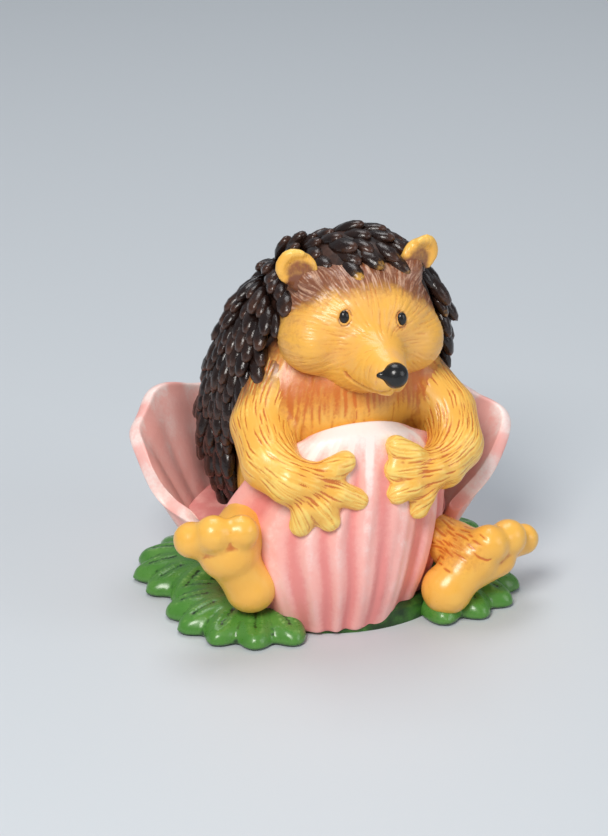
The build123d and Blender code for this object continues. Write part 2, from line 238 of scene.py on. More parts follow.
class Skin:
    """A surface in millimetres whose points are moved and painted one by one."""

    def __init__(self, mesh):
        self.mesh = mesh
        count = len(mesh.vertices)
        self.co = np.empty(count * 3)
        mesh.vertices.foreach_get("co", self.co)
        self.co = self.co.reshape(count, 3)
        self.corners = np.empty(len(mesh.polygons) * 4, dtype=np.int64)
        mesh.polygons.foreach_get("vertices", self.corners)
        self.corners = self.corners.reshape(-1, 4)
        edges = np.empty(len(mesh.edges) * 2, dtype=np.int64)
        mesh.edges.foreach_get("vertices", edges)
        edges = edges.reshape(-1, 2)
        across = [self.corners[:, pair] for pair in ([0, 2], [2, 0], [1, 3], [3, 1])]
        self.ends = np.concatenate([edges, edges[:, ::-1], *across])
        self.degree = np.bincount(self.ends[:, 0], minlength=count)
        self.paint = {}

    def normals(self):
        """The outward direction at each point."""
        a, b, c, d = (self.co[self.corners[:, k]] for k in range(4))
        face = np.cross(c - a, d - b)
        total = np.zeros_like(self.co)
        for k in range(4):
            for axis in range(3):
                total[:, axis] += np.bincount(self.corners[:, k], face[:, axis], len(self.co))
        return unit(total)

    def spread(self, values, times):
        """Each point's values averaged with its neighbours', a number of times."""
        start, end = self.ends[:, 0], self.ends[:, 1]
        for _ in range(times):
            around = [np.bincount(start, column[end], len(values)) / self.degree for column in values.T]
            values = (values + np.stack(around, 1)) / 2
        return values

    def tree(self):
        """The points sorted by place, to find those near a place."""
        tree = KDTree(len(self.co))
        for index, point in enumerate(self.co):
            tree.insert(point, index)
        tree.balance()
        return tree

    def push(self, amount):
        """Moves the points along their normals."""
        self.co += self.normals() * np.asarray(amount)[:, None]

    def mark(self, line, width, tree):
        """How near each point is to a line, from 1 on it to 0 two widths away."""
        near = np.zeros(len(self.co))
        for number, point in enumerate(line):
            from_end = min(number, len(line) - 1 - number)
            taper = min(1, 0.5 + 4 * from_end / len(line))
            for _, index, distance in tree.find_range(point, width * 2):
                near[index] = max(near[index], taper * np.exp(-((distance / width) ** 2)))
        return near

    def carve(self, lines, width, depth, name):
        """Presses grooves into the skin, and remembers them as paint."""
        tree = self.tree()
        near = np.zeros(len(self.co))
        for line in lines:
            on_skin = [tree.find(point)[0] for point in through(line, 10)]
            near = np.maximum(near, self.mark(on_skin, width, tree))
        self.push(-depth * near)
        self.paint[name] = np.maximum(self.paint.get(name, 0), near)

    def front(self, x, z):
        """The foremost point of the skin near a place seen from the front."""
        near = np.hypot(self.co[:, 0] - x, self.co[:, 2] - z) < 0.4
        return Vector((x, self.co[near, 1].min(), z))

    def swell(self, centre, radius, height):
        """Raises a soft round swelling."""
        distance = np.linalg.norm(self.co - np.array(centre), axis=1)
        self.push(height * ramp(radius - distance, 0, radius))

    def comb(self, flow, where, count, length, width, depth, seed, name="stroke"):
        """Cuts tapering strokes that follow a flow, each from a random place."""
        rng = np.random.default_rng(seed)
        normals = self.normals()
        flow = unit(flow - normals * np.sum(flow * normals, axis=1)[:, None])
        starts = rng.choice(len(self.co), count, p=where / where.sum())
        tree = self.tree()
        groove = np.zeros(len(self.co))
        step = width * 0.8
        for start in starts:
            steps = max(4, int(length * rng.uniform(0.6, 1.5) / step))
            strength = rng.uniform(0.45, 1.0)
            turn = rng.normal(0, 0.09)
            point = self.co[start]
            for number in range(steps):
                _, index, _ = tree.find(point)
                taper = sin(pi * (number + 0.6) / (steps + 0.2)) ** 0.7
                reach = width * (0.55 + 0.45 * taper)
                for _, near, distance in tree.find_range(point, reach * 2):
                    groove[near] = max(groove[near], strength * taper * np.exp(-((distance / reach) ** 2)))
                ahead = flow[index]
                side = np.cross(ahead, self.co[index] - self.co[start] + 1e-6)
                across = side / max(np.linalg.norm(side), 1e-6)
                point = self.co[index] * 0.5 + point * 0.5 + (ahead + across * turn * 0.3) * step
        self.paint[name] = np.maximum(self.paint.get(name, 0), groove)
        self.push(-depth * groove)

    def comb_fur(self, flow, where, count, seed, longer=1.0, wider=1.0, deeper=1.0):
        """Combs strokes of the chosen size, or of a multiple of it."""
        sizes = bpy.context.scene.figurine_sizes
        length = sizes.stroke_length / MM * longer
        width = sizes.stroke_width / MM * wider
        depth = sizes.stroke_depth / MM * deeper
        self.comb(flow, where, count, length, width, depth, seed)

    def relief(self, times, size):
        """Hollows and ridges of about the given size, from -1 to 1."""
        smooth = self.spread(self.co.copy(), times)
        return np.clip(np.sum((smooth - self.co) * self.normals(), axis=1) / size, -1, 1)

    def finish(self, name, place=Matrix.Identity(4)):
        """Writes the points and the paint to the mesh and makes it an object in metres."""
        place = np.array(Matrix.Scale(MM, 4) @ place)
        world = self.co @ place[:3, :3].T + place[:3, 3]
        self.mesh.vertices.foreach_set("co", world.ravel())
        for layer, values in self.paint.items():
            attribute = self.mesh.attributes.new(layer, "FLOAT", "POINT")
            attribute.data.foreach_set("value", np.clip(values, 0, 1).astype(np.float32))
        self.mesh.shade_smooth()
        self.mesh.update()
        return new_object(name, self.mesh)


def to_mesh(bm, name):
    """A new mesh of what was modelled."""
    mesh = bpy.data.meshes.new(name)
    bm.to_mesh(mesh)
    bm.free()
    return mesh


def new_object(name, mesh):
    """An object of a mesh, in the scene."""
    mesh.name = name
    piece = bpy.data.objects.new(name, mesh)
    bpy.context.scene.collection.objects.link(piece)
    return piece


def with_modifiers(mesh, modifiers):
    """A mesh after a run of modifiers, each given as its kind and settings."""
    helper = bpy.data.objects.new("helper", mesh)
    bpy.context.scene.collection.objects.link(helper)
    for kind, settings in modifiers:
        modifier = helper.modifiers.new(kind.lower(), kind)
        for key, value in settings.items():
            setattr(modifier, key, value)
    graph = bpy.context.evaluated_depsgraph_get()
    result = bpy.data.meshes.new_from_object(helper.evaluated_get(graph))
    bpy.data.objects.remove(helper)
    return result


class Clay:
    """Balls and cones in millimetres that are melted into one smooth skin."""

    def __init__(self):
        self.bm = bmesh.new()

    def ball(self, centre, radius, stretch=(1, 1, 1), turn=Matrix.Identity(4)):
        """A ball that may be stretched along its axes and turned."""
        place = Matrix.Translation(centre) @ turn @ Matrix.Diagonal((*[radius * s for s in stretch], 1))
        bmesh.ops.create_icosphere(self.bm, subdivisions=4, radius=1, matrix=place)

    def cone(self, near, far, near_radius, far_radius):
        """A cone between two places."""
        run = Vector(far) - Vector(near)
        turn = run.to_track_quat("Z", "Y").to_matrix().to_4x4()
        place = Matrix.Translation((Vector(near) + Vector(far)) / 2) @ turn
        bmesh.ops.create_cone(
            self.bm, cap_ends=True, segments=32, radius1=near_radius, radius2=far_radius,
            depth=run.length, matrix=place,
        )

    def limb(self, path, radii):
        """Balls along a path, joined by cones."""
        for point, radius in zip(path, radii):
            self.ball(point, radius)
        for near, far, near_radius, far_radius in zip(path, path[1:], radii, radii[1:]):
            self.cone(near, far, near_radius * 0.97, far_radius * 0.97)

    def melt(self, grain, softness, levels=2):
        """The smooth skin of the whole, in grains of the given size."""
        return Skin(with_modifiers(to_mesh(self.bm, "clay"), (
            ("REMESH", {"mode": "VOXEL", "voxel_size": grain}),
            ("SMOOTH", {"factor": 0.5, "iterations": softness}),
            ("SUBSURF", {"levels": levels, "render_levels": levels}),
        )))


def dress(piece, material, *nodes, slot):
    """Gives a finished piece its paint and its place in the frame."""
    piece.data.materials.clear()
    piece.data.materials.append(material)
    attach(piece, "root")
    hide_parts(*nodes)


# Paint


PAINTS = ("Paint", "Shade Paint", "Wash Paint", "Light Paint")
SHADE_AND_LIGHT = {"Shade": {"shade": 1.0}, "Light": {"light": 1.0}}


def link(tree, kind, settings=None, **inputs):
    """A shader node with its settings. Its inputs, by name or number, are values or other nodes' outputs."""
    made = tree.nodes.new(kind)
    for key, value in (settings or {}).items():
        setattr(made, key, value)
    for key, value in inputs.items():
        numbered = key[0] == "i" and key[1:].isdigit()
        socket = made.inputs[int(key[1:]) if numbered else key.replace("_", " ")]
        if isinstance(value, bpy.types.NodeSocket):
            tree.links.new(value, socket)
        else:
            socket.default_value = value
    return made


def maths(tree, operation, first, second, clamp=False):
    """The sum or product of two values."""
    settings = {"operation": operation, "use_clamp": clamp}
    return link(tree, "ShaderNodeMath", settings, i0=first, i1=second).outputs[0]


def add(tree, first, second, clamp=False):
    return maths(tree, "ADD", first, second, clamp)


def multiply(tree, first, second):
    return maths(tree, "MULTIPLY", first, second)


def blend(tree, share, first, second):
    """A colour between two others."""
    return link(tree, "ShaderNodeMix", {"data_type": "RGBA"}, i0=share, i6=first, i7=second).outputs[2]


def soft_step(tree, value, low, high):
    """A soft step from 0 at low to 1 at high."""
    made = link(tree, "ShaderNodeMapRange", {"interpolation_type": "SMOOTHSTEP"}, i0=value, i1=low, i2=high)
    return made.outputs[0]


def noise(tree, scale, detail=3.0, roughness=0.55):
    """Noise that is fixed to the piece."""
    place = link(tree, "ShaderNodeTexCoord").outputs["Object"]
    made = link(tree, "ShaderNodeTexNoise", Vector=place, Scale=scale, Detail=detail, Roughness=roughness)
    return made.outputs[0]


def brushed(tree, layer):
    """The value painted on each point of the piece in a layer."""
    return link(tree, "ShaderNodeAttribute", {"attribute_name": layer}).outputs["Fac"]


def roughen(tree, shader, height, strength):
    """Raises small bumps from a height."""
    bumps = link(tree, "ShaderNodeBump", Height=height, Strength=strength, Distance=0.0004)
    tree.links.new(bumps.outputs["Normal"], shader.inputs["Normal"])


def new_material(name):
    """A material with its tree and its shader."""
    material = bpy.data.materials.new(name)
    material.use_nodes = True
    return material, material.node_tree, material.node_tree.nodes["Principled BSDF"]


def resin_paint():
    """Layers of paint over cast resin: a wash, which on the chest also holds the painted shadow under the
    chin, shade in the hollows, and a dry brush on what stands out.
    """
    tree = bpy.data.node_groups.new("resin_paint", "ShaderNodeTree")
    for direction, kind, names in (
        ("INPUT", "NodeSocketColor", PAINTS),
        ("INPUT", "NodeSocketFloat", ("Shade", "Wash", "Light", "Mottle", "Gloss")),
        ("OUTPUT", "NodeSocketColor", ("Colour",)),
        ("OUTPUT", "NodeSocketFloat", ("Roughness", "Height")),
    ):
        for name in names:
            tree.interface.new_socket(name, in_out=direction, socket_type=kind)
    given = tree.nodes.new("NodeGroupInput").outputs
    result = tree.nodes.new("NodeGroupOutput").inputs

    patches = noise(tree, 260.0, 4.0)
    specks = noise(tree, 1500.0, 3.0, 0.65)
    uneven = multiply(tree, add(tree, patches, -0.5), given["Mottle"])
    specked = multiply(tree, add(tree, specks, -0.5), given["Mottle"])
    faint = multiply(tree, soft_step(tree, patches, 0.35, 0.75), 0.22)
    colour = blend(tree, faint, given["Paint"], given["Light Paint"])
    for name, low, high in (("Wash", 0.1, 0.9), ("Shade", 0.1, 0.95), ("Light", 0.2, 0.9)):
        broken = add(tree, add(tree, given[name], uneven), specked)
        share = multiply(tree, soft_step(tree, broken, low, high), soft_step(tree, given[name], 0.0, 0.15))
        colour = blend(tree, share, colour, given[f"{name} Paint"])
    tree.links.new(colour, result["Colour"])
    spread = multiply(tree, add(tree, specks, -0.5), 0.25)
    tree.links.new(add(tree, given["Gloss"], spread, True), result["Roughness"])
    relief = add(tree, multiply(tree, patches, 0.7), multiply(tree, specks, 0.3))
    tree.links.new(relief, result["Height"])


def painted(name, colours, masks, gloss, mottle, coat=0.25, bump=0.25):
    """A material of the resin paint, whose masks are layers of the piece and their shares."""
    material, tree, shader = new_material(name)
    paint = {"node_tree": bpy.data.node_groups["resin_paint"]}
    group = link(tree, "ShaderNodeGroup", paint, Mottle=mottle, Gloss=gloss)
    for socket, colour in zip(PAINTS, colours):
        group.inputs[socket].default_value = (*colour, 1)
    for socket, layers in masks.items():
        shares = [multiply(tree, brushed(tree, layer), amount) for layer, amount in layers.items()]
        total = shares[0] if len(shares) == 1 else add(tree, *shares, True)
        tree.links.new(total, group.inputs[socket])
    tree.links.new(group.outputs["Colour"], shader.inputs["Base Color"])
    tree.links.new(group.outputs["Roughness"], shader.inputs["Roughness"])
    roughen(tree, shader, group.outputs["Height"], bump)
    shader.inputs["Coat Weight"].default_value = coat
    shader.inputs["Coat Roughness"].default_value = 0.18
    shader.inputs["IOR"].default_value = 1.48
    return material


def fur_material(name, gloss=0.38, light=None, stroke=0.3):
    """The fur's paint, with some shade in the carved strokes."""
    colours = bpy.context.scene.figurine_colours
    paints = (colours.fur, colours.fur_shade, colours.fur_wash_and_shadow, light or colours.fur_light)
    masks = {"Shade": {"shade": 1.0, "stroke": stroke}, "Wash": {"wash_and_shadow": 1.0}, "Light": {"light": 1.0}}
    return painted(name, paints, masks, gloss=gloss, mottle=0.55)


def length_property(name, description, value, low, high):
    """A length in metres that a user may change."""
    return FloatProperty(name=name, description=description, default=value, min=low, max=high, unit="LENGTH")


def colour_property(name, description, value):
    """A colour that a user may change."""
    return FloatVectorProperty(
        name=name, description=description, subtype="COLOR", default=value, min=0, max=1
    )


class FigurineSizes(PropertyGroup):
    """Sizes of what is carved into the figure and set on it."""

    quill_length: length_property("Quill length", "Length of a quill on the back", 0.0054, 0.003, 0.008)
    quill_width: length_property("Quill width", "Width of a quill at its widest", 0.0029, 0.0015, 0.004)
    stroke_length: length_property("Stroke length", "Length of a carved fur stroke", 0.0034, 0.001, 0.008)
    stroke_width: length_property("Stroke width", "Width of a carved fur stroke", 0.00024, 0.0001, 0.001)
    stroke_depth: length_property("Stroke depth", "Depth of a carved fur stroke", 0.00012, 0.0, 0.0006)
    petal_thickness: length_property("Petal thickness", "Thickness of the side petals", 0.0021, 0.001, 0.004)


class FigurineColours(PropertyGroup):
    """Colours of the paints."""

    fur: colour_property("Fur", "Warm yellow of the fur", (0.91, 0.47, 0.075))
    fur_shade: colour_property("Fur shade", "Orange red in the hollows of the fur", (0.62, 0.17, 0.025))
    # This brown is also painted onto the chest as the shadow under the chin.
    fur_wash_and_shadow: colour_property("Fur wash", "Brown wash on the brow and the cheeks", (0.22, 0.075, 0.035))
    fur_light: colour_property("Fur light", "Pale yellow brushed over what stands out", (0.97, 0.68, 0.17))
    fur_pale: colour_property("Fur pale", "Beige of the strokes on the brow", (0.66, 0.40, 0.27))
    quill: colour_property("Quill", "Very dark brown of the quills", (0.012, 0.0055, 0.0045))
    quill_tip: colour_property("Quill tip", "Brown brushed on the tips of the quills", (0.085, 0.036, 0.022))
    petal: colour_property("Petal", "Pink of the petals", (0.93, 0.45, 0.40))
    petal_shade: colour_property("Petal shade", "Deep pink in the petals' valleys", (0.80, 0.27, 0.25))
    petal_light: colour_property("Petal light", "Pale pink of the ridges and rims", (0.98, 0.86, 0.82))
    leaf: colour_property("Leaf", "Middle green of the leaves", (0.070, 0.235, 0.032))
    leaf_shade: colour_property("Leaf shade", "Dark green of the leaves' grooves", (0.008, 0.035, 0.006))
    leaf_light: colour_property("Leaf light", "Pale green brushed over the leaves", (0.22, 0.44, 0.11))
    floor: colour_property("Floor", "Pale floor and backdrop", (0.60, 0.64, 0.68))


class FIGURINE_OT_body(Operator):
    """Models the body, with its chest and belly"""

    bl_idname = "figurine.body"
    bl_label = "Body"

    def execute(self, context):
        clay = Clay()
        clay.ball(EGG_CENTRE, BODY_RADIUS, (1, 1, BODY_HALF_LENGTH / BODY_RADIUS), EGG_TURN.to_4x4())
        clay.ball(*BELLY)
        clay.ball(*CHEST)
        for path in ARMS.values():
            clay.limb(path[:3], SHOULDER_RADII)
        skin = clay.melt(grain=1.4, softness=11)
        x, y, z = skin.co.T
        down_chest = np.stack([0.15 * (x - 1.5), -0.2 + 0 * y, -6 + 0 * z], 1)
        front = ramp(-y, -4, 4) * ramp(z, 14, 20)
        skin.comb_fur(down_chest, front + 1e-4, 800, SEEDS["body"], longer=1.3, wider=1.1, deeper=5 / 6)
        # Painted shadow under the chin: the chest below the head is darkened with the shade and with some of
        # the brown wash.
        chin_shadow = ramp(-y, 5, 12) * ramp(z, 29.5, 37)
        beside_coat = ramp(5.0 + behind_edge(skin.co), 0, 5.0)
        skin.paint["shade"] = 0.75 * chin_shadow + 0.35 * ramp(skin.relief(6, 0.02), 0, 1)
        skin.paint["wash_and_shadow"] = 0.85 * beside_coat + 0.4 * chin_shadow
        skin.paint["light"] = 0.35 * ramp(-skin.relief(4, 0.02), 0.2, 1)
        dress(skin.finish("body_cast"), fur_material("body_paint", stroke=0.2), "body", slot="fur_paint")
        return {"FINISHED"}


class FIGURINE_OT_head(Operator):
    """Models the head, with its cheeks, muzzle, smile and eye sockets"""

    bl_idname = "figurine.head"
    bl_label = "Head"

    def execute(self, context):
        clay = Clay()
        clay.ball((0, 0, 0), SKULL_RADIUS, (SKULL_HALF_WIDTH / SKULL_RADIUS, 1, 1))
        for cheek in CHEEKS:
            clay.ball(*cheek)
        for place in EARS.values():
            clay.limb((Vector(place) * 0.45, Vector(place) * 0.8), (5.2, 2.5))
        clay.limb(MUZZLE, MUZZLE_RADII)
        skin = clay.melt(grain=0.7, softness=14)
        self.carve_features(skin)
        self.paint_fur(skin)
        dress(skin.finish("head_cast", HEAD_PLACE), self.face_paint(), "head", slot="face_paint")
        return {"FINISHED"}

    def carve_features(self, skin):
        """Raises the cheeks and the brows, and carves the smile and the eye sockets."""
        for swelling in SMILE_CHEEKS:
            skin.swell(*swelling)
        for across, up in EYES.values():
            skin.swell((across, -9.0, up + 2.6), 3.0, 0.3)
        skin.carve(SMILE, 0.42, 0.42, "crease")
        seats = [skin.front(*place) for place in EYES.values()]
        for seat in seats:
            skin.carve([self.oval(seat, 1.0, 1.3)], 0.14, 0.08, "ring")
            skin.carve([self.oval(seat, 0.95, 1.25)], 0.45, 0.0, "lid")

    def oval(self, seat, across, up):
        """Points of an oval round an eye."""
        turns = [2 * pi * k / 14 for k in range(15)]
        return [seat + Vector((across * cos(turn), 0, up * sin(turn))) for turn in turns]

    def paint_fur(self, skin):
        """Combs the fur away from the muzzle and washes the brow beside the quills and ears."""
        x, y, z = skin.co.T
        from_muzzle = skin.co - np.array((-0.9, -14.5, 1.5))
        front = ramp(-y, -3, 3)
        below = ramp(-z, 4.0, 8.0)
        muzzle = ramp(-y, 12.0, 15.0)
        clear = 1 - np.clip(skin.paint["ring"] + skin.paint["lid"], 0, 1)
        furry = front * clear * (1 - 0.85 * muzzle) * (1 - 0.5 * below)
        skin.comb_fur(from_muzzle, furry + 1e-5, 1500, SEEDS["face"], longer=1.25, wider=0.66)
        world = skin.co @ np.array(HEAD_PLACE)[:3, :3].T + np.array(SKULL_CENTRE)
        beside_coat = ramp(2.4 + 5.6 * ramp(z, -2, 7) + behind_edge(world), 0, 5.5)
        from_ears = [np.linalg.norm(skin.co - np.array(place), axis=1) for place in EARS.values()]
        brow = np.maximum(beside_coat, ramp(7.4 - np.minimum(*from_ears), 0, 3.6))
        streaked = brow * front * ramp(z, 0, 4)
        skin.comb(from_muzzle, streaked + 1e-6, 650, 3.8, 0.15, -0.05, SEEDS["brow"], "pale")
        # The lower face turns browner towards its outer edges, more on the left side than on the right.
        outer = ramp(np.abs(x + 0.8), 8.0, 13.5) * np.where(x < 0, 0.36, 0.1) * ramp(z, -9, -2)
        hollow = ramp(skin.relief(10, 0.05), 0.1, 1)
        # Painted shade on the underside of the jaw, below the muzzle.
        jaw_shade = ramp(-z, 6.2, 9.5) * ramp(y, -15, -7)
        crease, lid, pale = (skin.paint.pop(layer) for layer in ("crease", "lid", "pale"))
        skin.paint["wash_and_shadow"] = np.maximum(0.95 * brow, outer)
        skin.paint["shade"] = 0.4 * crease + 0.25 * hollow + 0.7 * jaw_shade + 0.3 * lid
        skin.paint["light"] = 0.9 * pale * ramp(brow, 0.1, 0.6) + 0.25 * muzzle

    def face_paint(self):
        """The fur's paint, with beige strokes on the brow and a dark line round each eye."""
        colours = bpy.context.scene.figurine_colours
        material = fur_material("face_paint", 0.42, colours.fur_pale)
        tree = material.node_tree
        colour = tree.nodes["Principled BSDF"].inputs["Base Color"]
        below = colour.links[0].from_socket
        line = multiply(tree, soft_step(tree, brushed(tree, "ring"), 0.4, 1.0), 0.5)
        tree.links.new(blend(tree, line, below, (*colours.quill, 1)), colour)
        return material


class FIGURINE_OT_ears(Operator):
    """Models the two ears as cups with thick rims"""

    bl_idname = "figurine.ears"
    bl_label = "Ears"

    def execute(self, context):
        material = fur_material("ear_paint")
        for side, sign in (("left", -1), ("right", 1)):
            turn = Matrix.Rotation(radians(sign * EAR_TURN), 4, "Z")
            place = HEAD_PLACE @ Matrix.Translation(EARS[side]) @ turn
            arc = [radians(a) for a in np.linspace(*EAR_ARCS[side], len(EAR_RIM_RADII))]
            clay = Clay()
            clay.limb([(EAR_RADIUS * cos(a), 0.0, EAR_RADIUS * sin(a)) for a in arc], EAR_RIM_RADII)
            clay.ball((-sign * 0.2, 1.1, -0.4), 2.9, (1, 0.45, 1.0))
            clay.ball((-sign * 0.9, 1.7, -2.0), 2.3, (1.1, 0.7, 0.9))
            skin = clay.melt(grain=0.36, softness=9)
            x, y, z = skin.co.T
            inside = ramp(2.7 - np.hypot(x + sign * 0.5, z + 0.6), 0, 1.3) * ramp(1.6 - y, 0, 0.8)
            skin.paint["wash_and_shadow"] = 0.75 * inside + 0.9 * ramp(-z - sign * x * 0.4, 0.6, 2.4)
            skin.paint["light"] = 0.5 * ramp(z, 1.0, 2.8)
            skin.paint["shade"] = 0.5 * ramp(skin.relief(6, 0.04), 0.1, 1)
            upwards = np.tile((0.0, 0.0, 1.0), (len(x), 1))
            skin.comb(upwards, inside + 1e-4, 60, 2.2, 0.18, 0.08, SEEDS["ears"])
            dress(skin.finish(f"ear_{side}_cast", place), material, f"ear_{side}", slot="ear_paint")
        return {"FINISHED"}


class FIGURINE_OT_eyes_and_nose(Operator):
    """Models the eyes and the pointed nose, which keep the frame's own black"""

    bl_idname = "figurine.eyes_and_nose"
    bl_label = "Eyes and Nose"

    def execute(self, context):
        head = bpy.data.objects["head_cast"]
        inwards = HEAD_PLACE.to_3x3() @ Vector((0, 1, 0))
        eye_paint, nose_paint = (bpy.data.materials[name] for name in ("eye_paint", "nose_paint"))
        for side, (across, up) in EYES.items():
            start = HEAD_PLACE @ Vector((across, -30, up))
            found, seat, normal, _ = head.ray_cast(start * MM, inwards)
            if not found:
                raise RuntimeError(f"The {side} eye has no place on the head")
            clay = Clay()
            clay.ball((0, 0, 0), 1.0, (0.80, 0.60, 1.06))
            skin = clay.melt(grain=0.2, softness=1, levels=1)
            facing = (inwards - normal).normalized()
            turn = facing.to_track_quat("Y", "Z").to_matrix().to_4x4()
            place = Matrix.Translation(seat / MM + facing * 0.08) @ turn
            dress(skin.finish(f"eye_{side}_cast", place), eye_paint, f"eye_{side}", slot="eye_paint")
        clay = Clay()
        clay.ball((0, 0, 0), NOSE_RADIUS)
        clay.limb(((0, 0, 0), (-2.5, 0.4, -0.1)), (1.4, 0.45))
        skin = clay.melt(grain=0.3, softness=3)
        place = HEAD_PLACE @ Matrix.Translation(NOSE)
        dress(skin.finish("nose_cast", place), nose_paint, "nose", slot="nose_paint")
        return {"FINISHED"}


class FIGURINE_OT_arms(Operator):
    """Models the two arms, whose hands hold the front petal"""

    bl_idname = "figurine.arms"
    bl_label = "Arms"

    def execute(self, context):
        material = fur_material("arm_paint", stroke=0.18)
        for number, (side, path) in enumerate(ARMS.items()):
            palm = Vector(path[-1])
            clay = Clay()
            clay.limb(path, ARM_RADII)
            for tip in FINGERS[side]:
                knuckle = palm.lerp(Vector(tip), 0.6) + KNUCKLE_BULGE
                clay.limb((palm, knuckle, tip), FINGER_RADII)
            skin = clay.melt(grain=0.6, softness=4)
            down_arm = np.zeros_like(skin.co)
            for near, far in (*zip(path, path[1:]), *((palm, tip) for tip in FINGERS[side])):
                run = np.array(far) - np.array(near)
                middle = (np.array(far) + np.array(near)) / 2
                nearness = np.exp(-np.sum((skin.co - middle) ** 2, axis=1) / 22)
                down_arm += nearness[:, None] * run / np.linalg.norm(run)
            everywhere = np.ones(len(skin.co))
            skin.comb_fur(unit(down_arm), everywhere, 560, SEEDS["arms"] + number, longer=1.4, wider=0.75)
            x, y, z = skin.co.T
            shoulder = ramp(8.0 + behind_edge(skin.co), 0, 5.0) * ramp(z, 22, 28)
            fingers = ramp(np.linalg.norm(skin.co - np.array(palm), axis=1), 3.0, 6) * ramp(-y, 16, 18)
            skin.paint["shade"] = 0.95 * ramp(skin.relief(16, 0.05), 0.03, 0.6) + 0.2 * shoulder
            skin.paint["wash_and_shadow"] = 0.75 * shoulder
            skin.paint["light"] = 0.5 * ramp(-skin.relief(8, 0.03), 0.2, 1) + 0.3 * fingers + 0.1
            dress(skin.finish(f"arm_{side}_cast"), material, f"arm_{side}", slot="arm_paint")
        return {"FINISHED"}


class FIGURINE_OT_feet(Operator):
    """Models the two feet, soles forward, with three toes each"""

    bl_idname = "figurine.feet"
    bl_label = "Feet"

    def execute(self, context):
        material = fur_material("foot_paint", 0.32)
        for number, (side, path) in enumerate(FEET.items()):
            clay = Clay()
            clay.limb(path, FOOT_RADII[side])
            for toe, radius in zip(TOES[side], TOE_RADII[side]):
                clay.limb((path[2], toe), (2.6, radius))
            if side == "right":
                clay.limb((path[1], Vector(path[2]) + Vector((4.0, 0.6, -0.8))), (3.5, 3.3))
            skin = clay.melt(grain=0.58, softness=3)
            x, y, z = skin.co.T
            if side == "left":
                ankle = ramp(y, -14, -9)
            else:
                ankle = np.maximum(ramp(y, -15, -11), ramp(20.5 - x, 0, 3.5) * ramp(z, 7, 10))
            up_foot = np.tile(np.array(path[3]) - np.array(path[2]), (len(skin.co), 1))
            skin.comb_fur(up_foot, ankle + 1e-5, 150, SEEDS["feet"] + number)
            hollow = ramp(skin.relief(18, 0.06), 0.05, 0.7)
            sole = ramp(skin.relief(30, 0.2), 0.05, 0.6)
            skin.paint["shade"] = 0.9 * hollow + 0.34 * ankle + 0.3 * sole
            skin.paint["wash_and_shadow"] = 0.2 * ankle
            skin.paint["light"] = 0.5 * ramp(-skin.relief(8, 0.03), 0.3, 1)
            dress(skin.finish(f"foot_{side}_cast"), material, f"foot_{side}", slot="foot_paint")
        return {"FINISHED"}


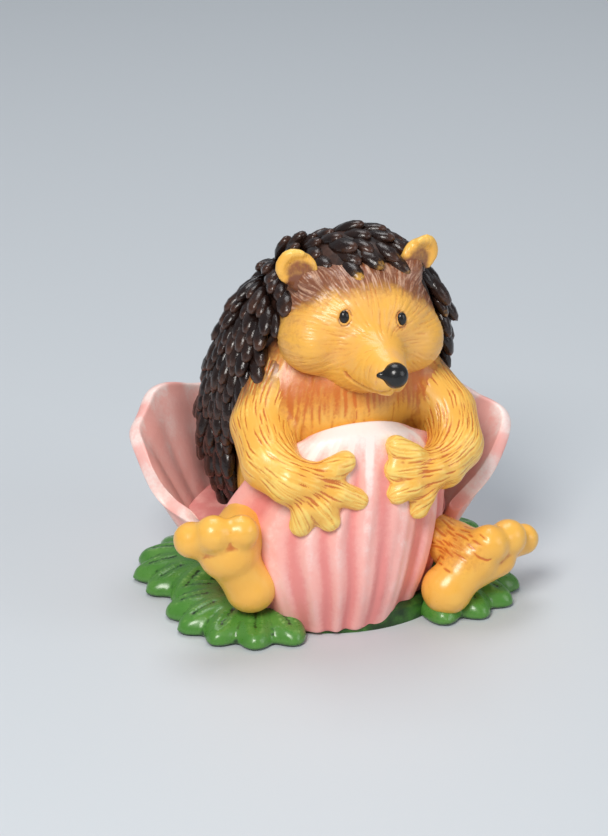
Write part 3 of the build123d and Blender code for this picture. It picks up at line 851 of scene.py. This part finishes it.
class FIGURINE_OT_quills(Operator):
    """Sets the quills over the coat, row by row from the crown"""

    bl_idname = "figurine.quills"
    bl_label = "Quills"

    def execute(self, context):
        sizes = context.scene.figurine_sizes
        colours = context.scene.figurine_colours
        material = painted(
            "quill_paint",
            (colours.quill, colours.fur, colours.quill_tip, colours.quill_tip),
            {"Wash": {"tip": 0.8}, "Shade": {"brow": 1.0}},
            gloss=0.24, mottle=0.9, coat=0.15, bump=0.8,
        )
        length, width = sizes.quill_length / MM, sizes.quill_width / MM
        rng = np.random.default_rng(SEEDS["quills"])
        rows = self.rows(length, width, rng)
        per_piece = -(-len(rows) // QUILL_PIECES)
        for number in range(QUILL_PIECES):
            bm = bmesh.new()
            layers = [bm.verts.layers.float.new(name) for name in ("tip", "brow")]
            for row in rows[number * per_piece:(number + 1) * per_piece]:
                for seat in row:
                    self.quill(bm, layers, seat, length, width, rng)
            mesh = to_mesh(bm, "quills")
            mesh.shade_smooth()
            node = f"quill_row_{number + 1:02}"
            dress(new_object(f"{node}_cast", mesh), material, node, slot="quill_paint")
        return {"FINISHED"}

    def on_coat(self, away, turn):
        """The place and the normal of the coat, at an angle from the rows' pole and a turn about it."""
        pole = (EGG_TURN @ ROW_POLE).normalized()
        ray = Vector((sin(away) * cos(turn), sin(away) * sin(turn), cos(away)))
        inside = EGG_TURN.inverted() @ pole.to_track_quat("Z", "Y").to_matrix() @ ray
        squeeze = Matrix.Diagonal((1 / COAT_RADIUS, 1 / COAT_RADIUS, 1 / COAT_HALF_LENGTH))
        inside = inside / (squeeze @ inside).length
        normal = (squeeze @ squeeze @ inside).normalized()
        return Vector(EGG_CENTRE) + EGG_TURN @ inside, EGG_TURN @ normal

    def rows(self, length, width, rng):
        """The quills' seats by rows: a place, its normal, the way down and its distance behind the edge."""
        ears = [HEAD_PLACE @ Vector(place) for place in EARS.values()]
        head = bpy.data.objects["head_cast"]
        step = 0.05
        reach = 7.0
        rows = []
        away = FIRST_ROW
        while away < LAST_ROW:
            circle = [self.on_coat(away, pi * k / 8)[0] for k in range(16)]
            girth = sum((circle[k] - circle[k - 1]).length for k in range(16))
            count = max(5, round(girth / (width * SEAT_STEP)))
            row = []
            for k in range(count):
                turn = 2 * pi * (k + len(rows) % 2 / 2 + rng.uniform(-0.12, 0.12)) / count
                place, normal = self.on_coat(away + rng.uniform(-0.008, 0.008), turn)
                below, _ = self.on_coat(away + step, turn)
                behind = float(behind_edge(place))
                line = SIDE_PETAL_LINE if place.y < 9 else REAR_PETAL_LINE
                if behind < 0.1 or place.z < line or min((place - ear).length for ear in ears) < EAR_GAP:
                    continue
                start = place + normal * reach
                found, over, over_normal, _ = head.ray_cast(start * MM, -normal)
                if found and (over / MM - start).length < reach and place.z > 42:
                    place, normal = over / MM, (normal + over_normal).normalized()
                if min((place - ear).length for ear in ears) < RAISED_EAR_GAP:
                    continue
                row.append((place, normal, (below - place).normalized(), behind))
            rows.append(row)
            quarters = (0, pi / 2, pi, 1.5 * pi)
            steps = [(self.on_coat(away + step, t)[0] - self.on_coat(away, t)[0]).length for t in quarters]
            away += step * length * ROW_STEP / max(steps)
        return rows

    def quill(self, bm, layers, seat, length, width, rng):
        """One drop-shaped quill, round at its tip, that lies on the ones below it."""
        tip_layer, brow_layer = layers
        place, normal, down, behind = seat
        size = rng.uniform(0.85, 1.18)
        at_crown = float(ramp(place.z, 49, 55))
        side = normal.cross(down).normalized()
        turn = Matrix.Rotation(rng.normal(0, 0.10), 3, normal)
        lift = 0.25 - 0.19 * at_crown + rng.normal(0, 0.05)
        ahead = turn @ (down * cos(lift) + normal * sin(lift))
        side = turn @ side
        out = side.cross(ahead)
        if out.dot(normal) < 0:
            out = -out
        place = place - normal * (0.35 + 0.6 * at_crown)
        brow = 0.7 * float(ramp(2.4 - behind, 0, 1.2) * ramp(place.z, 45, 50)) * rng.uniform(0.3, 1.0)
        root = bm.verts.new((place - ahead * 0.1) * MM)
        loops = []
        for share, breadth in QUILL_SECTIONS:
            ring = []
            for k in range(QUILL_SPOKES):
                angle = 2 * pi * k / QUILL_SPOKES + pi / 2
                keel = 1 + 0.10 * cos(angle - pi / 2) ** 2 + rng.uniform(-0.05, 0.05)
                across = side * cos(angle) * breadth * width / 2 * size
                up = out * sin(angle) * breadth * width / 2 * size * QUILL_FLATNESS * keel
                vertex = bm.verts.new((place + ahead * share * length * size + across + up) * MM)
                vertex[tip_layer] = float(ramp(share, 0.55, 1.0)) * (0.55 + 0.3 * rng.random())
                vertex[brow_layer] = brow * float(ramp(share, 0.6, 0.95))
                ring.append(vertex)
            loops.append(ring)
        tip = bm.verts.new((place + ahead * 0.99 * length * size) * MM)
        tip[tip_layer] = 0.8
        tip[brow_layer] = brow
        for k in range(QUILL_SPOKES):
            bm.faces.new((root, loops[0][k - 1], loops[0][k]))
            bm.faces.new((tip, loops[-1][k], loops[-1][k - 1]))
            for near, far in zip(loops, loops[1:]):
                bm.faces.new((near[k - 1], far[k - 1], far[k], near[k]))


class FIGURINE_OT_petals(Operator):
    """Models the four petals of the flower"""

    bl_idname = "figurine.petals"
    bl_label = "Petals"

    def execute(self, context):
        sizes = context.scene.figurine_sizes
        colours = context.scene.figurine_colours
        material = painted(
            "petal_paint",
            (colours.petal, colours.petal_shade, colours.petal_shade, colours.petal_light),
            SHADE_AND_LIGHT, gloss=0.42, mottle=0.5, coat=0.12,
        )
        self.front(material)
        for number, (side, sections) in enumerate(UPRIGHT_PETALS.items()):
            self.upright(side, sections, sizes.petal_thickness / MM, number, material)
        return {"FINISHED"}

    def grid(self, across, up, shape):
        """A sheet whose points are placed and painted by a function of their shares across and up."""
        bm = bmesh.new()
        bmesh.ops.create_grid(bm, x_segments=across, y_segments=up, size=0.5)
        layers = [bm.verts.layers.float.new(name) for name in ("shade", "light")]
        for vertex in bm.verts:
            vertex.co, *paint = shape(vertex.co.x + 0.5, vertex.co.y + 0.5)
            for layer, value in zip(layers, paint):
                vertex[layer] = float(np.clip(value, 0, 1))
        return to_mesh(bm, "petal")

    def front(self, material):
        """The ridged petal in front, bent about the body and curled inwards at its rim."""
        line = through([(*centre, height) for height, centre, _, _ in FRONT_PETAL], 12)
        girth = through([(radius, half, 0) for _, _, radius, half in FRONT_PETAL], 12)

        def shape(u, v):
            front = along(line, v)
            radius, half, _ = along(girth, v)
            half_angle = np.arcsin(min(half / radius, 0.999))
            wander = 0.20 * sin(5 * v + 9 * u) * v + 0.24 * sin(2 * pi * (1.7 * u + 0.3))
            phase = (u * RIDGES + wander) % 1
            ridge = (0.5 - 0.5 * cos(2 * pi * phase)) ** 0.8
            depth = 0.95 * float(ramp(0.84 - v, 0, 0.42)) * (0.7 + 0.3 * sin(17 * u))
            fold = 0.22 * sin(2 * pi * (u * 21 + 0.3 * sin(7 * v))) * (1 - v) * float(ramp(v, 0, 0.2))
            angle = (u * 2 - 1) * half_angle
            curl = 1.3 * float(ramp(v, 0.86, 1.05))
            reach = radius - depth * (1 - ridge) - curl + fold * 0.5
            centre = Vector((front.x, front.y + radius, front.z))
            dip = -0.1 - 2.2 * abs(2 * u - 1) ** 2.2 * float(ramp(v, 0.6, 1.0))
            place = centre + Vector((sin(angle) * reach, -cos(angle) * reach, dip))
            valley = (1 - ridge) * float(ramp(1.02 - v, 0, 0.5))
            sides = float(ramp(abs(2 * u - 1), 0.55, 1.0))
            low = float(ramp(0.5 - v, 0, 0.5))
            shade = 0.85 * valley**1.3 + 0.35 * sides + 0.25 * low + 0.8 * abs(fold) * low
            high = 0.95 * ramp(v, 0.55, 0.95) * (1 - 0.7 * sides)
            light = 0.55 * ramp(ridge, 0.6, 1.0) * (0.3 + v) * (1 - sides) + high
            return place, shade, light

        self.close("petal_front", self.grid(121, 72, shape), FRONT_PETAL_THICKNESS, material)

    def upright(self, side, sections, thickness, number, material):
        """A petal that stands up from the cup and bends outwards to its rim."""
        rim = through(sections, 12)

        def shape(u, v):
            heading, reach_share, height_share = along(rim, u)
            waist = PETAL_FOOT + Vector((PETAL_WAIST[0] * reach_share, PETAL_WAIST[1] * height_share))
            top = Vector((PETAL_TOP[0] * reach_share - 0.45, PETAL_TOP[1] * height_share))
            at_foot = (1 - v) * (PETAL_KNEE - v) / PETAL_KNEE
            at_waist = v * (1 - v) / (PETAL_KNEE * (1 - PETAL_KNEE))
            at_top = v * (v - PETAL_KNEE) / (1 - PETAL_KNEE)
            reach, height = PETAL_FOOT * at_foot + waist * at_waist + top * at_top
            if side == "rear":
                reach += 0.7 * sin(pi * v)
            rib = sin(2 * pi * (u * 5 + 0.3 * sin(4 * v + number)))
            veins = 0.16 * rib * float(ramp(v, 0.1, 0.5))
            wave = 0.45 * sin(2 * pi * (u * 3.1 + 0.2 * number)) * float(ramp(v, 0.6, 1.0))
            curl = 0.5 * float(ramp(v, 0.85, 1.0))
            out = Vector((cos(radians(heading)), sin(radians(heading)), 0))
            place = out * (reach + veins + wave * 0.5) + Vector((-0.5, 1.0, height + wave - curl))
            hollow = ramp(-rib, 0.0, 1) * ramp(v, 0.1, 0.5)
            shade = 0.30 * hollow + 0.75 * ramp(0.55 - v, 0, 0.45)
            light = 0.28 * ramp(v, 0.9, 1.0) + 0.32 * (1 - hollow) * ramp(v, 0.3, 0.9)
            return place, shade, light

        self.close(f"petal_{side}", self.grid(90, 60, shape), thickness, material)

    def close(self, name, mesh, thickness, material):
        """Gives a sheet its thickness and rounds its rim."""
        bm = bmesh.new()
        bm.from_mesh(mesh)
        bmesh.ops.recalc_face_normals(bm, faces=bm.faces)
        face = max(bm.faces, key=lambda f: (f.calc_center_median() - FLOWER_CENTRE).length)
        if (face.calc_center_median() - FLOWER_CENTRE).dot(face.normal) < 0:
            bmesh.ops.reverse_faces(bm, faces=bm.faces)
        bm.to_mesh(mesh)
        bm.free()
        mesh = with_modifiers(mesh, (
            ("SOLIDIFY", {"thickness": thickness, "offset": -1.0, "use_even_offset": True}),
            ("SUBSURF", {"levels": 1, "render_levels": 1}),
            ("SMOOTH", {"factor": 0.5, "iterations": 8}),
        ))
        mesh.transform(Matrix.Scale(MM, 4))
        mesh.shade_smooth()
        dress(new_object(f"{name}_cast", mesh), material, name, slot="petal_paint")


class FIGURINE_OT_leaves(Operator):
    """Models the four lobed leaves and paints the base under them"""

    bl_idname = "figurine.leaves"
    bl_label = "Leaves"

    def execute(self, context):
        colours = context.scene.figurine_colours
        material = painted(
            "leaf_paint",
            (colours.leaf, colours.leaf_shade, colours.leaf_shade, colours.leaf_light),
            SHADE_AND_LIGHT, gloss=0.3, mottle=0.8, coat=0.3,
        )
        for side, heading in LEAVES.items():
            seat = LEAF_CENTRE + Matrix.Rotation(radians(heading), 3, "Z") @ Vector((LEAF_REACH, 0, 0))
            clay = Clay()
            ribs = []
            for turn in LOBE_TURNS:
                spin = Matrix.Rotation(radians(heading + turn), 4, "Z")
                lobe = (7.6, 3.5, 3.5 + 0.15 * sin(turn * 3))
                clay.ball(seat + spin.to_3x3() @ LOBE_PLACE, 1.0, lobe, spin)
                outwards = spin.to_3x3() @ Vector((1, 0, 0))
                ribs.append([seat + outwards * reach + RIB_LIFT for reach in RIB_REACHES])
            clay.ball(seat, 1.0, (6.0, 6.0, 2.6))
            skin = clay.melt(grain=0.6, softness=3)
            x, y, z = skin.co.T
            z[:] = np.where(z < 0.6, 0.25 + 0.35 * ramp(z, -0.6, 0.6), z)
            skin.carve(ribs, 0.8, 0.35, "rib")
            hollow = ramp(skin.relief(14, 0.06), 0.05, 0.8)
            skin.paint["shade"] = 0.12 * skin.paint.pop("rib") + hollow + 0.6 * ramp(1.2 - z, 0, 1)
            skin.paint["light"] = ramp(-skin.relief(10, 0.05), 0.15, 0.9) * ramp(z, 1.2, 2.6)
            dress(skin.finish(f"leaf_{side}_cast"), material, f"leaf_{side}", slot="leaf_paint")
        self.keep("leaf_base", "base_paint", (colours.leaf_shade, colours.leaf), 0.45)
        self.keep("flower_cup", "cup_paint", (colours.petal_shade, colours.petal), 0.5)
        self.keep("quill_coat", "coat_paint", (colours.quill, colours.quill_tip), 0.35)
        return {"FINISHED"}

    def keep(self, node, name, colours, gloss):
        """Paints a piece of the frame that stays as it is."""
        material, tree, shader = new_material(name)
        patches = noise(tree, 320.0, 4.0)
        mixed = blend(tree, soft_step(tree, patches, 0.4, 0.8), *((*colour, 1) for colour in colours))
        tree.links.new(mixed, shader.inputs["Base Color"])
        tree.links.new(add(tree, multiply(tree, patches, 0.3), gloss - 0.15), shader.inputs["Roughness"])
        roughen(tree, shader, patches, 0.4)
        materials = bpy.data.objects[node].data.materials
        materials.clear()
        materials.append(material)


class FIGURINE_OT_stage(Operator):
    """Sets the floor, the lamps and the camera"""

    bl_idname = "figurine.stage"
    bl_label = "Stage"

    def execute(self, context):
        scene = context.scene
        bm = bmesh.new()
        bmesh.ops.create_grid(bm, x_segments=1, y_segments=1, size=FLOOR_HALF)
        floor = new_object("floor", to_mesh(bm, "floor"))
        material, _, shader = new_material("floor_paper")
        shader.inputs["Base Color"].default_value = (*scene.figurine_colours.floor, 1)
        shader.inputs["Roughness"].default_value = 0.6
        floor.data.materials.append(material)

        world = bpy.data.worlds.new("studio")
        scene.world = world
        world.use_nodes = True
        background = world.node_tree.nodes["Background"]
        background.inputs["Color"].default_value = SKY_COLOUR
        background.inputs["Strength"].default_value = SKY_STRENGTH

        for name, (place, size, power, colour) in LAMPS.items():
            light = bpy.data.lights.new(name, "AREA")
            light.size, light.energy, light.color = size, power, colour
            self.aimed(name, light, Vector(place), LAMP_AIM)

        view = bpy.data.cameras.new("camera")
        view.lens = SENSOR_WIDTH * FOCAL_SHARE
        view.sensor_width = SENSOR_WIDTH
        view.clip_start = 0.01
        scene.camera = self.aimed("camera", view, CAMERA_PLACE, CAMERA_AIM)
        scene.view_settings.view_transform = "Standard"
        return {"FINISHED"}

    def aimed(self, name, data, place, aim):
        """A lamp or a camera that looks at a place."""
        placed = bpy.data.objects.new(name, data)
        bpy.context.scene.collection.objects.link(placed)
        placed.location = place
        placed.rotation_euler = (aim - place).to_track_quat("-Z", "Y").to_euler()
        return placed


PIECES = (
    FIGURINE_OT_body, FIGURINE_OT_head, FIGURINE_OT_ears, FIGURINE_OT_eyes_and_nose, FIGURINE_OT_arms,
    FIGURINE_OT_feet, FIGURINE_OT_quills, FIGURINE_OT_petals, FIGURINE_OT_leaves, FIGURINE_OT_stage,
)


class FIGURINE_PT_pieces(Panel):
    """The figurine's pieces, sizes and colours"""

    bl_label = "Hedgehog Figurine"
    bl_idname = "FIGURINE_PT_pieces"
    bl_space_type = "VIEW_3D"
    bl_region_type = "UI"
    bl_category = "Figurine"

    def draw(self, context):
        for piece in PIECES:
            self.layout.operator(piece.bl_idname)
        for group in (context.scene.figurine_sizes, context.scene.figurine_colours):
            for name in group.bl_rna.properties.keys():
                if name not in ("rna_type", "name"):
                    self.layout.prop(group, name)


CLASSES = (FigurineSizes, FigurineColours, *PIECES, FIGURINE_PT_pieces)


def register():
    for kind in CLASSES:
        bpy.utils.register_class(kind)
    bpy.types.Scene.figurine_sizes = PointerProperty(type=FigurineSizes)
    bpy.types.Scene.figurine_colours = PointerProperty(type=FigurineColours)


def unregister():
    del bpy.types.Scene.figurine_colours
    del bpy.types.Scene.figurine_sizes
    for kind in reversed(CLASSES):
        bpy.utils.unregister_class(kind)


def main():
    register()
    resin_paint()
    for piece in PIECES:
        group, _, name = piece.bl_idname.partition(".")
        getattr(getattr(bpy.ops, group), name)()
    bpy.context.view_layer.update()


if __name__ == "__main__":
    main()
